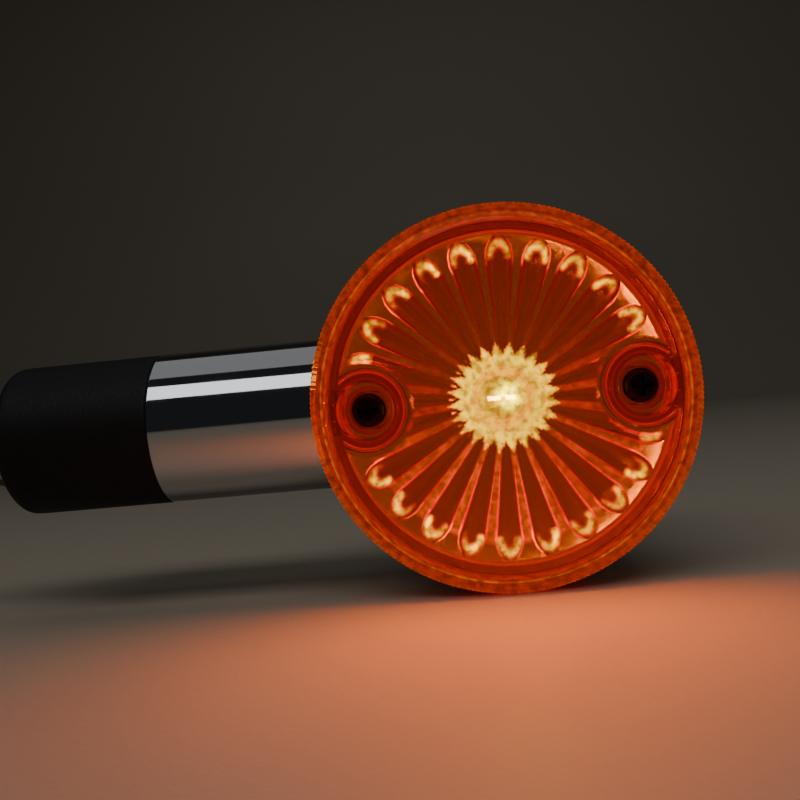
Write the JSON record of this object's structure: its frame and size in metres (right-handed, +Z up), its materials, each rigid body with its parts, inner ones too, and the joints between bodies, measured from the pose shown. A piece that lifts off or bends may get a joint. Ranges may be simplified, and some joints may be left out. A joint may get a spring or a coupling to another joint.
{
  "type": "turn signal indicator",
  "caption": "Round amber motorcycle turn signal with a fluted screw-on lens, chrome bowl and side arm, rubber damper, hollow mounting stud and a bayonet bulb inside.",
  "frame": {"origin": "on the arm's axis at the bracket seat, the outer face of the stud washer", "axes": "+X from the bracket seat along the arm to the lamp, -Y the way the lens faces, +Z up"},
  "size_m": [0.186, 0.0728, 0.084],
  "materials": {
    "chrome_plate": "mirror chrome plate",
    "black_rubber": "matte moulded rubber",
    "gasket_rubber": "soft black rubber",
    "amber_lens": "clear amber acrylic",
    "zinc_steel": "zinc plated steel",
    "black_steel": "blackened steel",
    "screw_steel": "phosphated and oiled screw",
    "reflector_bright": "vacuum metallised dish",
    "nickel_steel": "nickel plated steel",
    "spring_steel": "drawn spring wire",
    "tungsten": "glowing coil",
    "brass": "stamped brass",
    "bulb_brass": "nickel washed brass",
    "phenolic": "brown phenolic board",
    "orange_pvc": "extruded PVC",
    "green_pvc": "extruded PVC",
    "clear_glass": "clear blown glass",
    "black_glass": "black vitrite",
    "solder": "tinned solder"
  },
  "bodies": {
    "mount": {"mount_stud": "zinc_steel", "stud_washer": "zinc_steel", "damper_plate": "zinc_steel", "rubber_damper": "black_rubber"},
    "nut": {"jam_nut": "zinc_steel"},
    "lamp": {"arm_insert": "zinc_steel", "insert_screw": "black_steel", "lead_grommet": "black_rubber", "arm_tube": "chrome_plate", "arm_plug": "zinc_steel", "arm_bolt": "zinc_steel", "saddle_washer": "zinc_steel", "housing": "chrome_plate", "reflector": "reflector_bright", "lens_gasket": "gasket_rubber", "socket_shell": "nickel_steel", "socket_rivets": "brass", "socket_base": "phenolic", "signal_terminal": "brass", "earth_terminal": "brass", "signal_lead": "orange_pvc", "earth_lead": "green_pvc", "screw_post_left": "zinc_steel", "screw_post_right": "zinc_steel", "contact_spring": "spring_steel"},
    "plunger": {"plunger_disc": "phenolic", "plunger_contact": "brass"},
    "bulb": {"bulb_glass": "clear_glass", "bulb_stem": "clear_glass", "bulb_supports": "nickel_steel", "filament": "tungsten", "bulb_cap": "bulb_brass", "bulb_pins": "bulb_brass", "bulb_insulator": "black_glass", "bulb_contact": "solder"},
    "cover": {"lens": "amber_lens", "screw_oring_left": "gasket_rubber", "screw_oring_right": "gasket_rubber"},
    "screw_left": {"lens_screw_left": "screw_steel"},
    "screw_right": {"lens_screw_right": "screw_steel"}
  },
  "joints": [
    {"name": "damper_flex", "type": "hinge", "parent": "mount", "child": "lamp", "pos_m": [0.0288, 0, 0], "axis": [0, 0, 1], "range_deg": [-15, 15], "stiffness_Nm_per_rad": 11, "deforming": ["rubber_damper"]},
    {"name": "nut_turn", "type": "hinge", "parent": "mount", "child": "nut", "pos_m": [0.0046, 0, 0], "axis": [1, 0, 0], "continuous": true},
    {"name": "cover_lift", "type": "slide", "parent": "lamp", "child": "cover", "axis": [0, -1, 0], "range_m": [0, 0.03]},
    {"name": "screw_left_turn", "type": "hinge", "parent": "cover", "child": "screw_left", "pos_m": [0.0945, -0.0178, 0], "axis": [0, 1, 0], "continuous": true},
    {"name": "screw_right_turn", "type": "hinge", "parent": "cover", "child": "screw_right", "pos_m": [0.1535, -0.0178, 0], "axis": [0, 1, 0], "continuous": true},
    {"name": "bulb_push", "type": "slide", "parent": "lamp", "child": "plunger", "axis": [0, 1, 0], "range_m": [0, 0.0025], "stiffness_N_per_m": 3000, "springref_m": -0.004, "deforming": ["contact_spring"]},
    {"name": "bulb_turn", "type": "hinge", "parent": "plunger", "child": "bulb", "pos_m": [0.124, 0.022, 0], "axis": [0, -1, 0], "range_deg": [0, 18]}
  ]
}
